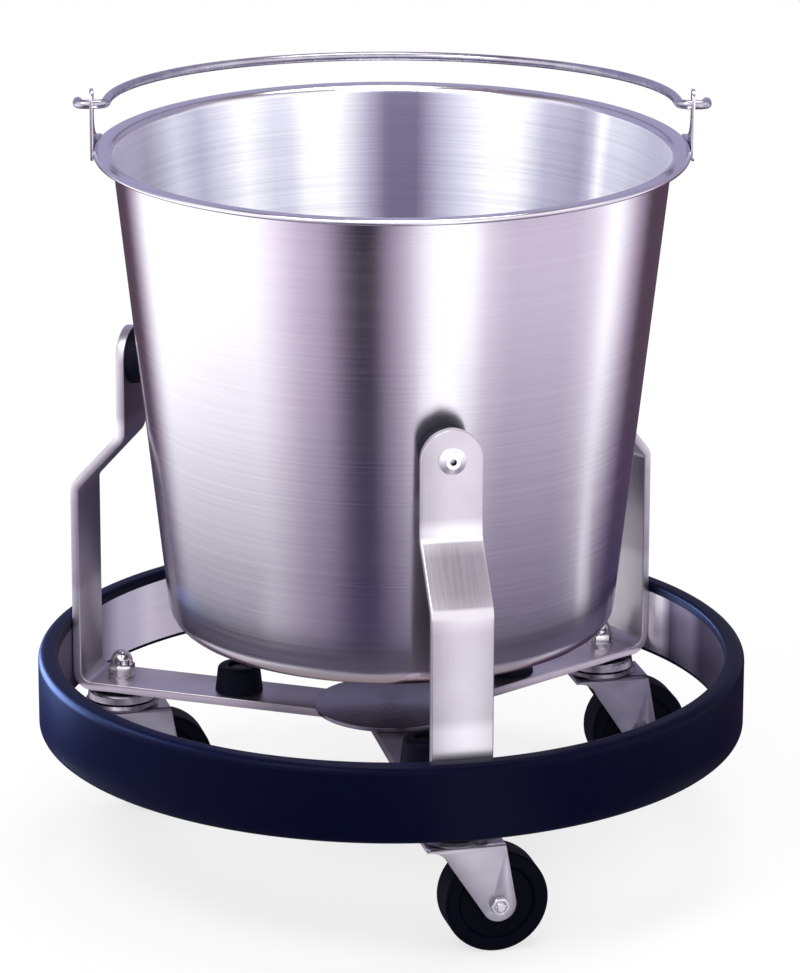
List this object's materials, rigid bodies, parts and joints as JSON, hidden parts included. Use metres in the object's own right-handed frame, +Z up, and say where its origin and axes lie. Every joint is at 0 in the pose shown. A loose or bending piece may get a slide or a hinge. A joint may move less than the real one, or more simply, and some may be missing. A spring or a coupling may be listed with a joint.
{
  "type": "surgical kick bucket",
  "caption": "Tapered steel pail with wire bail, wedged in a rolling frame of bent flat-bar legs with a rubber-bumpered hoop and small swivel casters.",
  "frame": {"origin": "on the floor under the centre of the hub, on the axis of pail and hoop", "axes": "+Z up, +X towards the object's right, -Y towards the front leg"},
  "size_m": [0.3736, 0.3736, 0.4116],
  "materials": {
    "pail_steel": "stainless, brushed round the pail",
    "frame_steel": "stainless flat bar, brushed along its length",
    "bail_wire": "drawn stainless wire, bright",
    "caster_steel": "zinc-plated pressed steel",
    "fastener_steel": "plated fasteners",
    "nut_chrome": "bright plated",
    "bumper_rubber": "navy black, satin",
    "pad_rubber": "black, matt",
    "wheel_rubber": "black hard rubber, satin"
  },
  "bodies": {
    "frame": {"hub_disc": "frame_steel", "hoop_band": "frame_steel", "bumper_strip": "bumper_rubber", "block_screws": "fastener_steel", "lock_washers": "fastener_steel", "leg_front": "frame_steel", "wall_pad_front": "pad_rubber", "pad_rivet_front": "fastener_steel", "rest_block_front": "pad_rubber", "kingpin_front": "fastener_steel", "dome_nut_front": "nut_chrome", "upper_race_front": "caster_steel", "leg_right": "frame_steel", "wall_pad_right": "pad_rubber", "pad_rivet_right": "fastener_steel", "rest_block_right": "pad_rubber", "kingpin_right": "fastener_steel", "dome_nut_right": "nut_chrome", "upper_race_right": "caster_steel", "leg_left": "frame_steel", "wall_pad_left": "pad_rubber", "pad_rivet_left": "fastener_steel", "rest_block_left": "pad_rubber", "kingpin_left": "fastener_steel", "dome_nut_left": "nut_chrome", "upper_race_left": "caster_steel"},
    "pail": {"pail_shell": "pail_steel", "ear_right": "pail_steel", "ear_left": "pail_steel"},
    "bail": {"bail_handle": "bail_wire"},
    "caster_front": {"fork_front": "caster_steel", "lower_race_front": "caster_steel", "race_balls_front": "nut_chrome", "axle_bolt_front": "fastener_steel", "axle_nut_front": "fastener_steel", "axle_bushing_front": "fastener_steel"},
    "wheel_front": {"wheel_front": "wheel_rubber"},
    "caster_right": {"fork_right": "caster_steel", "lower_race_right": "caster_steel", "race_balls_right": "nut_chrome", "axle_bolt_right": "fastener_steel", "axle_nut_right": "fastener_steel", "axle_bushing_right": "fastener_steel"},
    "wheel_right": {"wheel_right": "wheel_rubber"},
    "caster_left": {"fork_left": "caster_steel", "lower_race_left": "caster_steel", "race_balls_left": "nut_chrome", "axle_bolt_left": "fastener_steel", "axle_nut_left": "fastener_steel", "axle_bushing_left": "fastener_steel"},
    "wheel_left": {"wheel_left": "wheel_rubber"}
  },
  "joints": [
    {"name": "swivel_front", "type": "hinge", "parent": "frame", "child": "caster_front", "pos_m": [0.03007, -0.15051, 0.06], "axis": [0, 0, 1], "continuous": true},
    {"name": "spin_front", "type": "hinge", "parent": "caster_front", "child": "wheel_front", "pos_m": [0.05049, -0.14561, 0.027], "axis": [-0.2334, 0.9724, 0], "continuous": true},
    {"name": "swivel_right", "type": "hinge", "parent": "frame", "child": "caster_right", "pos_m": [0.11531, 0.1013, 0.06], "axis": [0, 0, 1], "continuous": true},
    {"name": "spin_right", "type": "hinge", "parent": "caster_right", "child": "wheel_right", "pos_m": [0.13573, 0.1062, 0.027], "axis": [-0.2334, 0.9724, 0], "continuous": true},
    {"name": "swivel_left", "type": "hinge", "parent": "frame", "child": "caster_left", "pos_m": [-0.14538, 0.04921, 0.06], "axis": [0, 0, 1], "continuous": true},
    {"name": "spin_left", "type": "hinge", "parent": "caster_left", "child": "wheel_left", "pos_m": [-0.12496, 0.05411, 0.027], "axis": [-0.2334, 0.9724, 0], "continuous": true},
    {"name": "pail_lift", "type": "slide", "parent": "frame", "child": "pail", "axis": [0, 0, 1], "range_m": [0, 0.3]},
    {"name": "bail_swing", "type": "hinge", "parent": "pail", "child": "bail", "pos_m": [0, 0, 0.4034], "axis": [1, 0, 0], "range_deg": [0, 186.2]}
  ]
}
